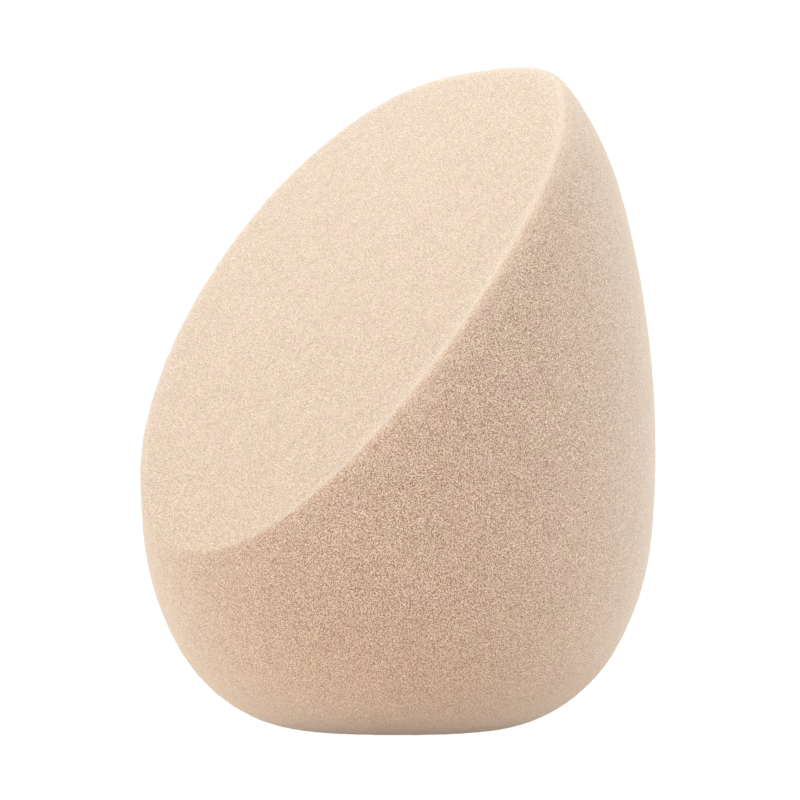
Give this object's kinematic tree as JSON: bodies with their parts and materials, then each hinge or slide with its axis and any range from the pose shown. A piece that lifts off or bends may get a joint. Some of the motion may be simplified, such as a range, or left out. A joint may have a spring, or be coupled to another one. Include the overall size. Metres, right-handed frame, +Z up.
{
  "type": "makeup sponge",
  "caption": "Round-bodied makeup sponge with a flat foot and one slanted cut face: a foam core under a film of adhesive and a coat of short velvet pile.",
  "frame": {"origin": "middle of the flat foot, on the axis of the round body", "axes": "+Z up from the foot towards the tip; the cut face looks towards -X and up; the part is alike on both sides of the XZ plane"},
  "size_m": [0.0439, 0.0444, 0.0578],
  "materials": {
    "foam": "matte open-cell foam",
    "adhesive": "thin dull film",
    "pile": "short velvet pile"
  },
  "bodies": {
    "root": {"foam_core": "foam", "adhesive_coat": "adhesive", "flock_pile": "pile"}
  },
  "joints": []
}
